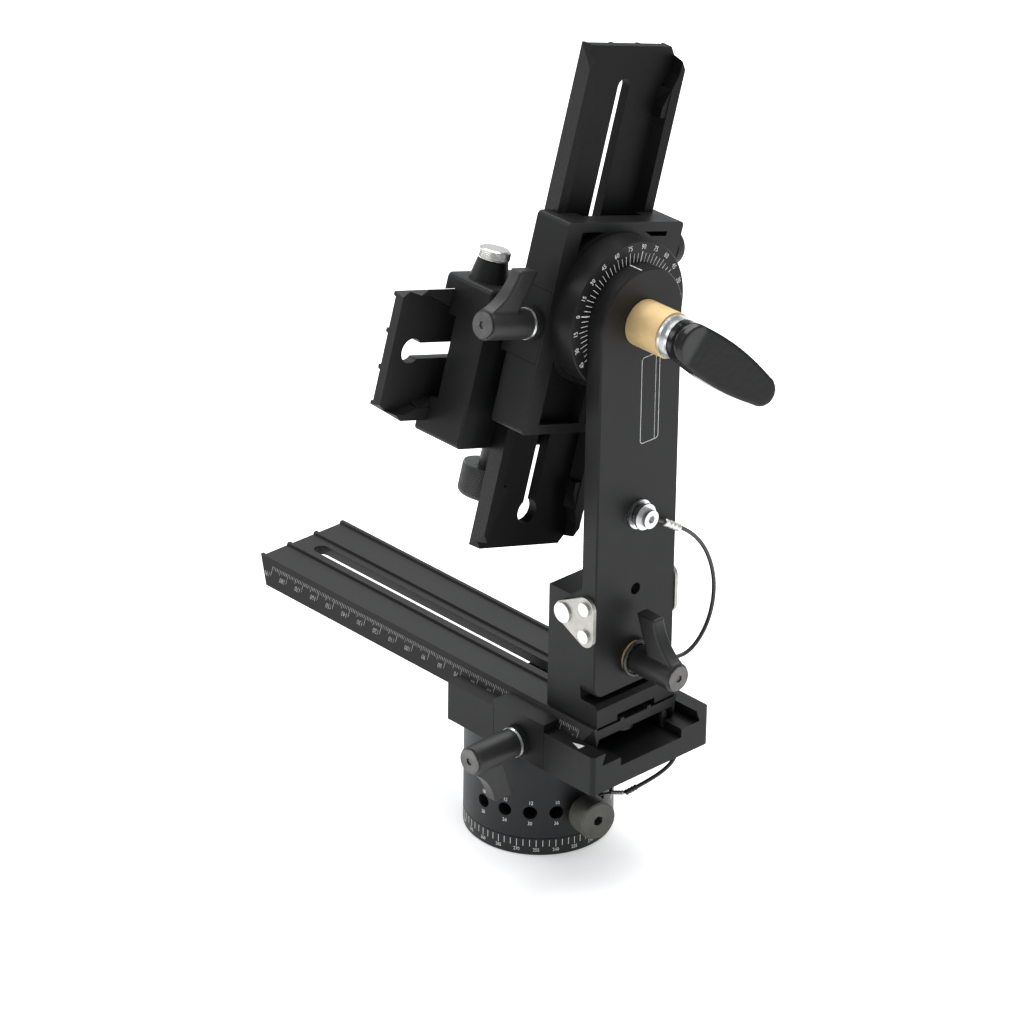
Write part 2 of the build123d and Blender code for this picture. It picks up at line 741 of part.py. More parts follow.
hinge_thickness = 1.6
hinge_inner_y = arm_half
for side, name in ((-1, "near_hinge_plate"), (1, "far_hinge_plate")):
    face = Plane(origin=(0, side * hinge_inner_y, 0), x_dir=(1, 0, 0), z_dir=(0, side, 0))
    flip = -side
    corners = [(fold_x, fold_z), (50.0, fold_z - 6.2), (50.0, fold_z + 6.2)]
    with BuildPart() as hinge_plate:
        with BuildSketch(face):
            for x, z in corners:
                with Locations((x, flip * z)):
                    Circle(4.9)
            with BuildLine():
                Polyline(*[(x, flip * z) for x, z in corners], close=True)
            make_face()
            make_hull()
            with Locations((fold_x, flip * fold_z)):
                Circle(3.0 + running, mode=Mode.SUBTRACT)
            with Locations((50.0, flip * (fold_z - 6.2)), (50.0, flip * (fold_z + 6.2))):
                Circle(1.6, mode=Mode.SUBTRACT)
        extrude(amount=hinge_thickness)
    finish(hinge_plate, name)

with BuildPart() as hinge_pins:
    for side in (-1, 1):
        inside = Plane(origin=(fold_x, side * (bracket_half - 8), fold_z), x_dir=(1, 0, 0), z_dir=(0, side, 0))
        outside = side * (hinge_inner_y + hinge_thickness + 0.1)
        head = Plane(origin=(fold_x, outside, fold_z), x_dir=(1, 0, 0), z_dir=(0, side, 0))
        rod(inside, 2.99, abs(outside) - bracket_half + 8)
        rod(head, 4.4, 0.9)
finish(hinge_pins, "hinge_pins")

with BuildPart() as hinge_screws:
    for side in (-1, 1):
        for z in (fold_z - 6.2, fold_z + 6.2):
            outside = side * (hinge_inner_y + hinge_thickness)
            head = Plane(origin=(50.0, outside, z), x_dir=(1, 0, 0), z_dir=(0, side, 0))
            rod(head, 2.9, 1.1)
            rod(head, 1.48, -(hinge_thickness + 5.5))
finish(hinge_screws, "hinge_screws")

# ---------------------------------------------------------------- lanyards
washer_face = axial(arm_front_x + near, lanyard_screw_y, lanyard_screw_z)
with BuildPart() as lanyard_screw:
    rod(washer_face, 6.3, 1.0, 1.5)
    rod(washer_face.offset(3.4), 5.6, 0.9, 1.5)
    rod(washer_face.offset(4.3), 3.9, 3.2)
    rod(washer_face.offset(-5.0), 1.48, 9.5)
    rod(washer_face.offset(1.0), 2.6, 2.4)
    with BuildSketch(washer_face.offset(5.9)):
        RegularPolygon(1.8, 6)
    extrude(amount=3, mode=Mode.SUBTRACT)
finish(lanyard_screw, "lanyard_screw")


def bend_radii(points):
    """Arc radii that round each corner of a cord's route to just under half of its shorter run."""
    radii = []
    for before, corner, after in zip(points, points[1:], points[2:]):
        back, ahead = Vector(*before) - Vector(*corner), Vector(*after) - Vector(*corner)
        half_turn = radians(180 - back.get_angle(ahead)) / 2
        radii.append(0.45 * min(back.length, ahead.length) / tan(half_turn))
    print("bends", [round(r, 1) for r in radii])
    return radii


def cord(name, points, radius, loop_plane=None, loop_radius=0.0):
    """A cord of straight runs and tangent arcs, with a closed loop at one end if a plane is given."""
    with BuildPart() as rope:
        with BuildLine() as route:
            FilletPolyline(*points, radius=bend_radii(points))
        start = Vector(*points[0])
        with BuildSketch(Plane(origin=start, z_dir=Vector(*points[1]) - start)):
            Circle(radius)
        sweep(path=route.line)
        if loop_plane:
            with Locations(loop_plane):
                Torus(loop_radius, radius)
    length = sum(e.length for e in route.line.edges())
    print("length", round(length, 1), "filled", round(rope.part.volume / (pi * radius**2), 1))
    finish(rope, name)


lock_loop_x = arm_front_x + washer_thickness + near + lanyard_radius + 0.2
cord(
    "arm_lanyard",
    [
        (57.0, 6.4, 161.4),
        (57.8, 21.5, 153.6),
        (58.6, 33.5, 142.5),
        (59.4, 39.6, 128.5),
        (59.8, 40.4, 115.0),
        (59.8, 36.4, 102.5),
        (59.4, 28.0, 94.0),
        (57.0, 20.5, 92.3),
        (lock_loop_x, 6.0, 94.8),
    ],
    lanyard_radius,
    axial(lock_loop_x, 0, lock_z),
    wing_radius + lanyard_radius + 0.35,
)
with BuildPart() as screw_loop:
    rod(washer_face.offset(1.3), 4.6, 1.8, 3.0)
finish(screw_loop, "screw_loop")

plunger_loop = plunger_plane(base_radius + 1.75)
cord(
    "index_lanyard",
    [
        (43.6, 8.6, 27.7),
        (46.5, 14.6, 30.4),
        (50.0, 23.0, 34.7),
        (51.8, 28.4, 39.5),
        (51.0, 30.4, 45.5),
        (50.0, 30.0, 51.3),
    ],
    lanyard_radius,
)
cord(
    "index_lanyard_loop",
    [
        (33.7, -1.4, 23.9),
        (34.9, 4.6, 25.2),
        (43.4, 8.4, 27.6),
    ],
    lanyard_wire_radius,
    plunger_loop,
    5.6,
)

# ---------------------------------------------------------------- tilt joint
disc_face_x = arm_back_x - disc_gap
holder_back_x = upper_rim_x - holder_bottom
with BuildPart() as tilt_disc:
    rod(tilted_axial(holder_back_x), disc_radius, disc_face_x - holder_back_x, tilt_journal_radius + 0.02)
    rim = tilt_disc.edges().filter_by(GeomType.CIRCLE).group_by(Axis.X)[-1].sort_by(SortBy.RADIUS)[-1]
    chamfer(rim, 0.4)
finish(tilt_disc, "tilt_disc")

spindle_flange_x = upper_rim_x + recess_depth
with BuildPart() as tilt_spindle:
    rod(tilted_axial(spindle_flange_x), 12.0, -2.4)
    rod(tilted_axial(spindle_flange_x), tilt_journal_radius, arm_front_x - near - spindle_flange_x)
    bore(tilted_axial(arm_front_x), stud_radius + running, -14)
finish(tilt_spindle, "tilt_spindle")

bush_start = arm_front_x + near
with BuildPart() as brass_bush:
    rod(axial(bush_start, 0, tilt_axis_z), bush_radius, bush_length, stud_radius + 0.3)
finish(brass_bush, "brass_bush")

collar_start = bush_start + bush_length + near
collar_end = collar_start + 4.6
with BuildPart() as lever_stud:
    rod(axial(collar_start, 0, tilt_axis_z), 9.0, 1.6)
    rod(axial(collar_start + 1.6, 0, tilt_axis_z), 7.6, 3.0)
    rod(axial(arm_front_x - 12, 0, tilt_axis_z), stud_radius, collar_end - arm_front_x + 12 + 6)
finish(lever_stud, "lever_stud")

slant, drop = radians(lever_slant_degrees), radians(lever_drop_degrees)
lever_dir = Vector(sin(slant), cos(slant) * cos(drop), -cos(slant) * sin(drop))
lever_across = Vector(0, sin(drop), cos(drop))
lever_origin = Vector(collar_end + 4.6, 0, tilt_axis_z)
lever_plane = Plane(origin=lever_origin, x_dir=lever_dir, z_dir=lever_dir.cross(lever_across))
with BuildPart() as tilt_lever:
    tip = lever_length - 6.6
    with BuildSketch(lever_plane.offset(-4.2)):
        with BuildLine():
            ThreePointArc((0, lever_half_width), (-lever_half_width, 0), (0, -lever_half_width))
            Spline((0, -lever_half_width), (20, -9.4), (tip, -6.6))
            ThreePointArc((tip, -6.6), (tip + 6.6, 0), (tip, 6.6))
            Spline((tip, 6.6), (20, 9.4), (0, lever_half_width))
        make_face()
    extrude(amount=8.4)
    rod(axial(collar_end + near, 0, tilt_axis_z), lever_half_width, 9.0)
    with BuildSketch(axial(collar_end + near, 0, tilt_axis_z)):
        Rectangle(150, 150)
    extrude(amount=-30, mode=Mode.SUBTRACT)
    bore(axial(collar_end - 1, 0, tilt_axis_z), stud_radius, 7.1)
finish(tilt_lever, "tilt_lever")

# ---------------------------------------------------------------- camera slide fasteners
with BuildPart() as camera_holder_bolts:
    for z in camera_screw_offsets:
        spot = upper_slide.from_local_coords(Vector(upper_holder_drop + camera_slide_z + z, 0, web_under))
        under = Plane(origin=spot, x_dir=upper_slide.x_dir, z_dir=upper_slide.z_dir)
        rod(under, 5.4, -4.4)
        rod(under, 2.98, upper_rim_x - web_under - spacer_front_x + 8.0)
        with BuildSketch(under.offset(-4.4)):
            RegularPolygon(2.3, 6)
        extrude(amount=2.6, mode=Mode.SUBTRACT)
finish(camera_holder_bolts, "camera_holder_bolts")

camera_screw_x = -22.0
camera_screw_neck = 2.5
camera_screw_radius = 3.1
camera_screw_stand = 5.8
camera_screw_seat = Plane(
    origin=camera_slide.from_local_coords(Vector(camera_screw_x, 0, plate_depth + near)),
    x_dir=camera_slide.x_dir,
    z_dir=camera_slide.z_dir,
)
with BuildPart() as camera_screw:
    spot = camera_slide.from_local_coords(Vector(camera_screw_x, 0, web_under - slide_gap))
    under = Plane(origin=spot, x_dir=camera_slide.x_dir, z_dir=camera_slide.z_dir)
    rod(under, 7.5, -4.8)
    rod(under, camera_screw_neck, plate_depth - web_under + slide_gap + near)
    rod(camera_screw_seat, camera_screw_radius, camera_screw_stand)
    with BuildSketch(under.offset(-4.8)):
        Rectangle(12, 1.6)
    extrude(amount=1.6, mode=Mode.SUBTRACT)
finish(camera_screw, "camera_screw")
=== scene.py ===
"""A spherical panoramic tripod head: indexed pan base, three dovetail slides, folding arm, tilt joint."""

import json
from math import cos, pi, radians, sin

import bmesh
import bpy
from mathutils import Matrix, Vector


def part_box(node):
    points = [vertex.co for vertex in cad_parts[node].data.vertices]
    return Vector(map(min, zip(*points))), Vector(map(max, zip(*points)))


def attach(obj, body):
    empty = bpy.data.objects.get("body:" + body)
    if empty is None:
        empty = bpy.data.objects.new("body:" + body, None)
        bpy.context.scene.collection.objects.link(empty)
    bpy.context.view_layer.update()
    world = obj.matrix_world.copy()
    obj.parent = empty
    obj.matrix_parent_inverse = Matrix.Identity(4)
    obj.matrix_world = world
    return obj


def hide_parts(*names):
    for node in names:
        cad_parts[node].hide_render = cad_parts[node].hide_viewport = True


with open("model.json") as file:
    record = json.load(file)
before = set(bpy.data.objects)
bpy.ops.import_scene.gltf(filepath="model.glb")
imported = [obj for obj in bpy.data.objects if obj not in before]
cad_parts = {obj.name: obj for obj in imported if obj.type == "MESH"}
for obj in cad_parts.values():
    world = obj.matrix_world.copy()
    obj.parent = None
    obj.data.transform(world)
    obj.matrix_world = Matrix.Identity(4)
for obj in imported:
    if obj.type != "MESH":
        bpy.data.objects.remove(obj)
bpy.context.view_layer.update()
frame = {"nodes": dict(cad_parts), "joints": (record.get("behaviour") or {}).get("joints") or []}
nodes = frame["nodes"]
joints = {joint["name"]: joint for joint in frame["joints"]}
MM = 0.001

# ---------------------------------------------------------------- the studio
# A white sweep under one broad soft lamp from above and behind, a weaker one from the left and a
# dim room: black castings then read by their top faces and edges. The camera is a long lens.
scene = bpy.context.scene
scene.view_settings.view_transform = "Standard"

azimuth, elevation, roll = radians(46.53), radians(27.26), radians(0.80)
level_right = Vector((cos(azimuth), sin(azimuth), 0))
forward = Vector((-sin(azimuth) * cos(elevation), cos(azimuth) * cos(elevation), -sin(elevation)))
level_up = level_right.cross(forward)
right = level_right * cos(roll) + level_up * sin(roll)
up = level_up * cos(roll) - level_right * sin(roll)
lens = bpy.data.cameras.new("long_lens")
lens.sensor_width = 36
lens.lens = 191.97
lens.clip_start, lens.clip_end = 0.1, 60
camera_distance = 2.2156
camera = bpy.data.objects.new("camera", lens)
scene.collection.objects.link(camera)
aim = Vector((0, 0, 0.150)) - level_right * 0.0145 - level_up * 0.0032
turn = Matrix((right, up, -forward)).transposed().to_4x4()
camera.matrix_world = Matrix.Translation(aim - forward * camera_distance) @ turn
scene.camera = camera

sweep_radius, sweep_sides = 9.0, 64
sweep = bpy.data.meshes.new("sweep")
turns = [a * pi / (sweep_sides / 2) for a in range(sweep_sides)]
edge = [(sweep_radius * cos(t), sweep_radius * sin(t), 0) for t in turns]
sweep.from_pydata(edge, [], [tuple(range(sweep_sides))])
floor = bpy.data.objects.new("floor", sweep)
scene.collection.objects.link(floor)
paper = bpy.data.materials.new("paper")
paper.use_nodes = True
paper_shader = paper.node_tree.nodes["Principled BSDF"]
paper_shader.inputs["Base Color"].default_value = (0.88, 0.88, 0.885, 1)
paper_shader.inputs["Roughness"].default_value = 0.9
paper_shader.inputs["Specular IOR Level"].default_value = 0.1
paper_shader.inputs["Emission Color"].default_value = (0.9, 0.9, 0.9, 1)
paper_shader.inputs["Emission Strength"].default_value = 0.42
sweep.materials.append(paper)

room = bpy.data.worlds.new("room")
room.use_nodes = True
room.node_tree.nodes["Background"].inputs["Color"].default_value = (0.96, 0.98, 1.0, 1)
room.node_tree.nodes["Background"].inputs["Strength"].default_value = 0.55
scene.world = room


def lamp(name, place, target, size, watts):
    """A square soft box that faces a point."""
    light = bpy.data.lights.new(name, "AREA")
    light.shape, light.size, light.energy = "SQUARE", size, watts
    box = bpy.data.objects.new(name, light)
    scene.collection.objects.link(box)
    box.location = place
    box.rotation_mode = "QUATERNION"
    box.rotation_quaternion = (Vector(target) - Vector(place)).to_track_quat("-Z", "Y")


lamp("overhead_box", (-0.5, 0.7, 2.6), (0, 0, 0.1), 3.0, 118)
lamp("left_box", (-1.9, -1.3, 1.3), (0, 0, 0.15), 1.2, 16)


# ---------------------------------------------------------------- the two lanyards
# Steel wire rope in a dark glossy sheath, 1.8 mm thick. One ties the arm's lock knob to a screw
# in the arm, the other ties the index plunger to the lower holder, each in a crimped ferrule.
class Wire:
    """An output socket that arithmetic can be written on."""

    def __init__(self, finish, socket):
        self.finish = finish
        self.socket = socket

    def combine(self, operation, first, second):
        return self.finish.node("ShaderNodeMath", {"operation": operation}, {0: first, 1: second})

    def __add__(self, other):
        return self.combine("ADD", self, other)

    def __mul__(self, other):
        return self.combine("MULTIPLY", self, other)

    __radd__ = __add__
    __rmul__ = __mul__


class Finish:
    """One surface finish: a shader, and the nodes that vary it over the piece."""

    def __init__(self, name, slot, colour, **sockets):
        self.slot = slot
        self.material = bpy.data.materials.new(name)
        self.material.use_nodes = True
        self.tree = self.material.node_tree
        self.shader = self.tree.nodes["Principled BSDF"]
        self.shader.inputs["Base Color"].default_value = (*colour, 1)
        for socket, value in sockets.items():
            self.shader.inputs[socket.replace("_", " ")].default_value = value
        self.place = Wire(self, self.tree.nodes.new("ShaderNodeTexCoord").outputs["Object"])

    def node(self, kind, settings=None, sockets=None, output=0):
        """A node of a kind, with its settings first and then the values or links of its sockets."""
        made = self.tree.nodes.new(kind)
        for setting, value in (settings or {}).items():
            if setting == "stops":
                for stop, (at, grey) in zip(made.color_ramp.elements, value):
                    stop.position, stop.color = at, (grey, grey, grey, 1)
            else:
                setattr(made, setting, value)
        for socket, value in (sockets or {}).items():
            if isinstance(value, Wire):
                self.tree.links.new(value.socket, made.inputs[socket])
            else:
                made.inputs[socket].default_value = value
        return Wire(self, made.outputs[output])

    def stretch(self, x, y, z):
        """The object's own coordinates, scaled along each axis."""
        sockets = {0: self.place, 1: (x, y, z)}
        return self.node("ShaderNodeVectorMath", {"operation": "MULTIPLY"}, sockets)

    def noise(self, scale, detail=2.0, roughness=0.5, vector=None):
        """Cloudy variation between 0 and 1; scale is in features per metre."""
        sockets = {"Vector": vector or self.place, "Scale": scale, "Detail": detail, "Roughness": roughness}
        return self.node("ShaderNodeTexNoise", {}, sockets, "Fac")

    def ramp(self, value, low, high):
        """A value brought to 0 at low and 1 at high, clamped."""
        stops = {"stops": [(low, 0.0), (high, 1.0)]}
        return self.node("ShaderNodeValToRGB", stops, {"Fac": value})

    def blend(self, mask, first, second):
        """The first colour where the mask is 0, the second where it is 1."""
        sockets = {0: mask, 6: (*first, 1), 7: (*second, 1)}
        return self.node("ShaderNodeMix", {"data_type": "RGBA"}, sockets, 2)

    def feed(self, **sockets):
        """Links values to the shader's sockets, named with _ for a space."""
        for socket, value in sockets.items():
            self.tree.links.new(value.socket, self.shader.inputs[socket.replace("_", " ")])

    def grain(self, height, depth):
        """Relief of a depth in metres that feeds the shader's normal."""
        sockets = {"Height": height, "Distance": depth, "Strength": 1.0}
        self.feed(Normal=self.node("ShaderNodeBump", {}, sockets, "Normal"))

    def coat(self, *names):
        """Gives CAD nodes this finish."""
        for name in names:
            nodes[name].data.materials.clear()
            nodes[name].data.materials.append(self.material)


sheath = Finish(
    "glossy_sheath", "cable_sheath", (0.014, 0.014, 0.013), Roughness=0.26, Specular_IOR_Level=0.5
)
sheath_smears = sheath.noise(180, 3)
sheath.feed(Roughness=sheath_smears * 0.22 + 0.18)
sheath.feed(Base_Color=sheath.blend(sheath.noise(90, 2), (0.010, 0.010, 0.009), (0.024, 0.023, 0.020)))
sheath.grain(sheath.noise(2400, 2), 0.00002)

zinc = Finish("zinc_plate", "zinc_steel", (0.66, 0.67, 0.68), Metallic=1.0, Roughness=0.28)
zinc_cloud = zinc.noise(260, 4, 0.6)
zinc.feed(Roughness=zinc_cloud * 0.3 + 0.16)
zinc.feed(Base_Color=zinc.blend(zinc.noise(420, 2), (0.56, 0.58, 0.61), (0.76, 0.76, 0.74)))
zinc.grain(zinc.noise(3000, 2), 0.000012)


def piece(name, mesh, body, finish, smooth=True, stands_for=()):
    """A finished mesh as a piece of the object that moves with a body."""
    made = bpy.data.objects.new(name, mesh)
    scene.collection.objects.link(made)
    for face in mesh.polygons:
        face.use_smooth = smooth
    if smooth:
        mesh.set_sharp_from_angle(angle=radians(34))
    mesh.materials.clear()
    mesh.materials.append(finish.material)
    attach(made, body)
    if stands_for:
        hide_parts(*stands_for)
    return made


def cable(name, route, radius, body, node):
    """A sheathed wire on one smooth curve through the points of its route, in millimetres."""
    curve = bpy.data.curves.new(name, "CURVE")
    curve.dimensions = "3D"
    curve.bevel_depth, curve.bevel_resolution, curve.use_fill_caps = radius * MM, 5, True
    line = curve.splines.new("NURBS")
    line.points.add(len(route) - 1)
    for point, place in zip(line.points, route):
        point.co = (*(Vector(place) * MM), 1)
    line.order_u = 3
    line.use_endpoint_u = True
    line.resolution_u = 14
    curve.materials.append(sheath.material)
    made = bpy.data.objects.new(name, curve)
    scene.collection.objects.link(made)
    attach(made, body)
    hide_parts(node)
    return made


def facing(origin, normal, across):
    """A place whose local z points along the normal and whose local x points along across."""
    z = Vector(normal).normalized()
    x = (Vector(across) - z * z.dot(Vector(across))).normalized()
    return Matrix.Translation(Vector(origin) * MM) @ Matrix((x, z.cross(x), z)).transposed().to_4x4()


def circle(place, radius, height, count):
    """Evenly spaced points round a circle, in millimetres about a place's z axis."""
    turns = [2 * pi * a / count for a in range(count)]
    return [place @ (Vector((radius * cos(t), radius * sin(t), height)) * MM) for t in turns]


def walled(shape, below, above):
    """Joins two rings of vertices of a mesh with a band of faces."""
    for a in range(len(below)):
        b = (a + 1) % len(below)
        shape.faces.new((below[a], below[b], above[b], above[a]))


def meshed(shape, name):
    """A finished mesh from a shape, its faces turned outwards."""
    bmesh.ops.recalc_face_normals(shape, faces=shape.faces)
    mesh = bpy.data.meshes.new(name)
    shape.to_mesh(mesh)
    shape.free()
    return mesh


def turned(profile, place, around=48):
    """A closed turned solid from (radius, height) points in millimetres, on a place."""
    shape = bmesh.new()
    rings = []
    for radius, height in profile:
        rings.append([shape.verts.new(spot) for spot in circle(place, radius, height, around)])
    for below, above in zip(rings, rings[1:]):
        walled(shape, below, above)
    if profile[0] == profile[-1]:
        bmesh.ops.remove_doubles(shape, verts=shape.verts, dist=1e-7)
    else:
        shape.faces.new(list(reversed(rings[0])))
        shape.faces.new(rings[-1])
    return meshed(shape, "turned")


def ring(loop_radius, radius, place):
    """A closed round loop of sheathed wire."""
    section = 14
    turns = [s * 2 * pi / section for s in range(section)]
    profile = [(loop_radius + radius * cos(t), radius * sin(t)) for t in turns]
    return turned([*profile, profile[0]], place, 56)


arm_route = [
    (57.0, 6.4, 161.4),
    (57.8, 21.5, 153.6),
    (58.6, 33.5, 142.5),
    (59.4, 39.6, 128.5),
    (59.8, 40.4, 115.0),
    (59.8, 36.4, 102.5),
    (59.4, 28.0, 94.0),
    (57.0, 20.5, 92.3),
    (56.9, 6.0, 94.8),
]
lanyard_radius = 0.9
lock_loop_x, lock_loop_radius = 56.9, 7.45
lock_y, lock_z = (value / MM for value in joints["arm_lock_turn"]["pos_m"][1:])
arm_cable = cable("arm_cable", arm_route, lanyard_radius, "arm", "arm_lanyard")
lock_loop_place = facing((lock_loop_x, lock_y, lock_z), (1, 0, 0), (0, 1, 0))
lock_loop = piece("lock_knob_loop", ring(lock_loop_radius, lanyard_radius, lock_loop_place), "arm", sheath)

plunger_route = [
    (43.6, 8.6, 27.7),
    (46.5, 14.6, 30.4),
    (50.0, 23.0, 34.7),
    (51.8, 28.4, 39.5),
    (51.0, 30.4, 45.5),
    (50.0, 30.0, 51.3),
]
plunger_cable = cable("plunger_cable", plunger_route, lanyard_radius, "pan", "index_lanyard")


def crimp(name, start, end, radius, body, finish):
    """A ferrule pressed onto a cable: a short tube with rounded lips and three crimped waists."""
    axis = Vector(end) - Vector(start)
    length = axis.length
    hole, lip_height, lip_depth = 0.5, 0.3, 0.25
    waist_radius, waist_half, slope_half = radius * 0.84, 0.02, 0.07
    profile = [(hole, 0), (radius - lip_depth, 0), (radius, lip_height)]
    for waist in (0.25, 0.5, 0.75):
        profile.append((radius, length * (waist - slope_half)))
        profile.append((waist_radius, length * (waist - waist_half)))
        profile.append((waist_radius, length * (waist + waist_half)))
        profile.append((radius, length * (waist + slope_half)))
    profile += [(radius, length - lip_height), (radius - lip_depth, length), (hole, length)]
    across = (1, 0, 0) if abs(axis.normalized().x) < 0.8 else (0, 1, 0)
    return piece(name, turned(profile, facing(start, axis, across), 24), body, finish)


alloy = Finish("crimped_alloy", "zinc_steel", (0.62, 0.62, 0.60), Metallic=1.0, Roughness=0.42)
alloy.feed(Roughness=alloy.noise(500, 3) * 0.3 + 0.28)
alloy.grain(alloy.noise(1500, 3), 0.00003)
arm_ferrule = crimp(
    "arm_cable_ferrule", (57.5, 12.2, 158.3), (58.0, 20.6, 152.9), 1.65, "arm", alloy
)
plunger_ferrule = crimp(
    "plunger_cable_ferrule", (37.6, 6.0, 26.0), (42.8, 8.1, 27.4), 1.0, "pan", alloy
)
plunger_sleeve = crimp(
    "plunger_cable_sleeve", (43.4, 8.2, 27.5), (45.6, 12.8, 29.7), 1.25, "pan", sheath
)
sheath.coat("index_lanyard_loop", "screw_loop")
zinc.coat("lanyard_screw")

# ---------------------------------------------------------------- white print
# The scales are screened or engraved and filled with white, and the long plate's with grey: bars
# and numerals a few hundredths of a millimetre proud, each scale one piece.
white = Finish("white_fill", "ptfe", (0.72, 0.72, 0.70), Roughness=0.6, Specular_IOR_Level=0.2)
worn = white.ramp(white.noise(900, 3, 0.6), 0.30, 0.46)
white.feed(Base_Color=white.blend(worn, (0.30, 0.30, 0.29), (0.78, 0.78, 0.76)))
grey_print = Finish("grey_fill", "ptfe", (0.3, 0.3, 0.3), Roughness=0.6, Specular_IOR_Level=0.2)
grey_worn = grey_print.ramp(grey_print.noise(700, 3, 0.6), 0.32, 0.5)
grey_print.feed(Base_Color=grey_print.blend(grey_worn, (0.13, 0.13, 0.13), (0.34, 0.34, 0.335)))


class Print:
    """Marks gathered flat, x along the scale and y up in millimetres, then laid on a surface."""

    thickness = 0.06
    size_of_capitals = 1.38
    narrowing = 0.85

    def __init__(self):
        self.shape = bmesh.new()

    def bar(self, x, y, width, height, turn=0.0):
        """A closed bar centred on a point."""
        place = Matrix.Translation((x, y, 0)) @ Matrix.Rotation(turn, 4, "Z")
        size = Matrix.Diagonal((width, height, self.thickness, 1))
        bmesh.ops.create_cube(self.shape, size=1.0, matrix=place @ size)

    def number(self, value, x, y, height, turn=0.0):
        """Numerals of a height, centred on a point."""
        curve = bpy.data.curves.new("numerals", "FONT")
        curve.body = str(value)
        curve.align_x, curve.align_y = "CENTER", "CENTER"
        curve.size = height * self.size_of_capitals
        curve.extrude = self.thickness / 2
        curve.resolution_u = 2
        drawn = bpy.data.objects.new("numerals", curve)
        mesh = bpy.data.meshes.new_from_object(drawn)
        place = Matrix.Translation((x, y, 0)) @ Matrix.Rotation(turn, 4, "Z")
        mesh.transform(place @ Matrix.Diagonal((self.narrowing, 1, 1, 1)))
        self.shape.from_mesh(mesh)
        bpy.data.objects.remove(drawn)
        bpy.data.curves.remove(curve)
        bpy.data.meshes.remove(mesh)

    def polygon(self, corners):
        """A closed flat plate with these corners."""
        low = [self.shape.verts.new((x, y, -self.thickness / 2)) for x, y in corners]
        high = [self.shape.verts.new((x, y, self.thickness / 2)) for x, y in corners]
        self.shape.faces.new(list(reversed(low)))
        self.shape.faces.new(high)
        walled(self.shape, low, high)

    def lay(self, name, body, finish, surface):
        """Lays the marks on a surface, a function of a flat point, and makes them a piece."""
        bmesh.ops.remove_doubles(self.shape, verts=self.shape.verts, dist=1e-5)
        for vert in self.shape.verts:
            vert.co = surface(vert.co)
        piece(name, meshed(self.shape, name), body, finish, smooth=False)


def on(place):
    """A flat surface at a place, for laying print."""
    return lambda flat: place @ (Vector(flat) * MM)


def around_post(radius):
    """The face of an upright round post; x runs round it from -Y towards +X."""

    def surface(flat):
        angle = flat.x / radius
        reach = radius + flat.z
        return Vector((reach * sin(angle), -reach * cos(angle), flat.y)) * MM

    return surface


# ---------------------------------------------------------------- pan base
# A black anodised ring that screws onto the tripod, engraved in degrees round its side, and the
# drum that turns on it, with eight index holes named by their step. Steel spindle and bush inside.
anodised = Finish(
    "anodised_black", "anodised_black", (0.011, 0.0115, 0.013), Roughness=0.42, Specular_IOR_Level=0.28
)
anodised_cloud = anodised.noise(60, 3, 0.55)
anodised_streak = anodised.noise(900, 2, 0.5, anodised.stretch(0.04, 1, 1))
anodised.feed(Roughness=anodised_cloud * 0.14 + anodised_streak * 0.12 + 0.30)
anodised.feed(
    Base_Color=anodised.blend(anodised_cloud, (0.008, 0.0085, 0.0095), (0.0145, 0.015, 0.0165))
)
anodised.grain(anodised.noise(2600, 2), 0.00001)

dark_steel = Finish("black_oxide_steel", "dark_steel", (0.10, 0.10, 0.10), Metallic=0.85, Roughness=0.36)
dark_steel.feed(Roughness=dark_steel.noise(350, 3) * 0.25 + 0.24)
dark_steel.feed(
    Base_Color=dark_steel.blend(dark_steel.noise(220, 3), (0.06, 0.06, 0.06), (0.16, 0.155, 0.15))
)
dark_steel.grain(dark_steel.noise(2400, 2), 0.000015)

slippery = Finish("low_friction_white", "ptfe", (0.80, 0.80, 0.77), Roughness=0.45)
slippery.feed(Roughness=slippery.noise(300, 2) * 0.2 + 0.35)
spring_wire = Finish("spring_wire", "spring_steel", (0.42, 0.42, 0.43), Metallic=1.0, Roughness=0.3)
spring_wire.feed(Roughness=spring_wire.noise(800, 2) * 0.25 + 0.2)

anodised.coat("base_ring", "pan_drum")
dark_steel.coat("base_spindle", "spindle_nut", "lower_holder_screws")
zinc.coat("tripod_bush", "index_ball")
slippery.coat("pan_washer")
spring_wire.coat("index_spring", "lower_catch_spring", "upper_catch_spring", "camera_catch_spring")

base_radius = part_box("base_ring")[1].x / MM
degree_step = base_radius * radians(1)
ring_zero, ring_tick_width, ring_tick_top = 300, 0.24, 7.45
ring_print = Print()
for mark in range(0, 360, 5):
    spot = (ring_zero - mark) * degree_step
    labelled = mark % 15 == 0
    tick = 3.3 if labelled else 3.0
    ring_print.bar(spot, ring_tick_top - tick / 2, ring_tick_width, tick)
    if labelled:
        ring_print.number(mark, spot, 2.75, 1.6)
ring_print.lay("base_degree_scale", "base", white, around_post(base_radius))

stops_in_a_turn = (18, 15, 12, 10, 8, 6, 5, 4)
index_height, index_step, index_numeral = 20.5, 20, 1.7
drum_print = Print()
for hole, stops in enumerate(stops_in_a_turn):
    spot = hole * index_step * degree_step
    drum_print.number(stops, spot + 0.3, index_height + 4.6, index_numeral)
    drum_print.number(360 // stops, spot, index_height - 5.2, index_numeral)
drum_print.lay("index_step_numbers", "pan", white, around_post(base_radius))


